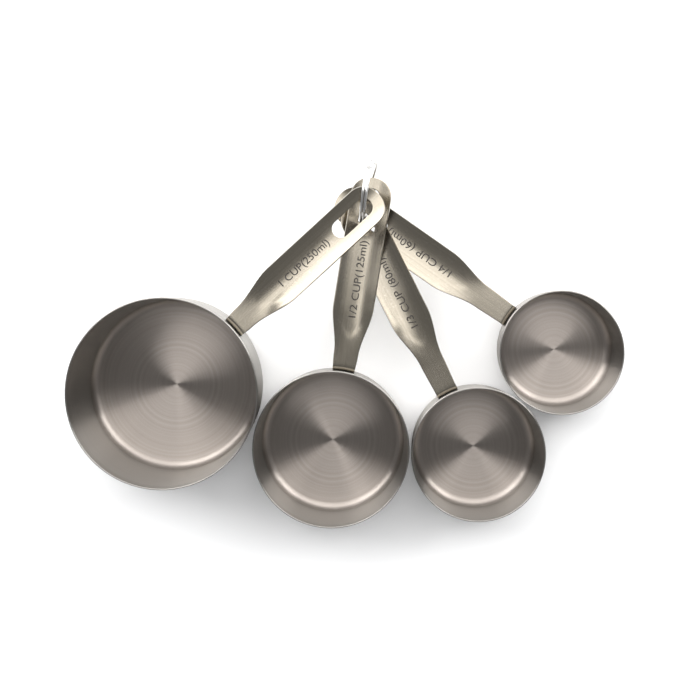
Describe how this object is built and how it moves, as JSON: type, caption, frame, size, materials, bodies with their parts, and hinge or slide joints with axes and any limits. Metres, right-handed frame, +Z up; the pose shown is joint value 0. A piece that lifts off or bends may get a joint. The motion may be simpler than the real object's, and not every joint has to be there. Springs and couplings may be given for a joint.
{
  "type": "measuring cup set",
  "caption": "Nesting steel measuring cups with flat welded handles, fanned out on a split ring that runs through a slot at each handle's end.",
  "frame": {"origin": "middle of the set's bounding box in plan, on the plane the cups stand on", "axes": "+Z up out of the cups, +X along the longest extent, from the largest cup to the smallest, +Y from the cups towards the ring"},
  "size_m": [0.2492, 0.1661, 0.0497],
  "materials": {
    "bowl_steel": "concentric brushed satin",
    "handle_steel": "fine satin",
    "ring_steel": "bright nickel plating"
  },
  "bodies": {
    "cup_125ml": {"bowl_125ml": "bowl_steel", "handle_125ml": "handle_steel"},
    "cup_250ml": {"bowl_250ml": "bowl_steel", "handle_250ml": "handle_steel"},
    "cup_80ml": {"bowl_80ml": "bowl_steel", "handle_80ml": "handle_steel"},
    "cup_60ml": {"bowl_60ml": "bowl_steel", "handle_60ml": "handle_steel"},
    "ring": {"split_ring": "ring_steel"}
  },
  "joints": [
    {"name": "fan_250ml", "type": "hinge", "parent": "cup_125ml", "child": "cup_250ml", "pos_m": [0.00588, 0.05963, 0.0477], "axis": [0, 0, -1], "range_deg": [0, 75]},
    {"name": "fan_80ml", "type": "hinge", "parent": "cup_125ml", "child": "cup_80ml", "pos_m": [0.00741, 0.05504, 0.0301], "axis": [0, 0, 1], "range_deg": [0, 35]},
    {"name": "fan_60ml", "type": "hinge", "parent": "cup_80ml", "child": "cup_60ml", "pos_m": [0.00741, 0.05504, 0.026], "axis": [0, 0, 1], "range_deg": [0, 40]},
    {"name": "ring_spin", "type": "hinge", "parent": "cup_125ml", "child": "ring", "pos_m": [0.00848, 0.06767, 0.03421], "axis": [0.9826, -0.1486, 0.1115], "continuous": true}
  ]
}
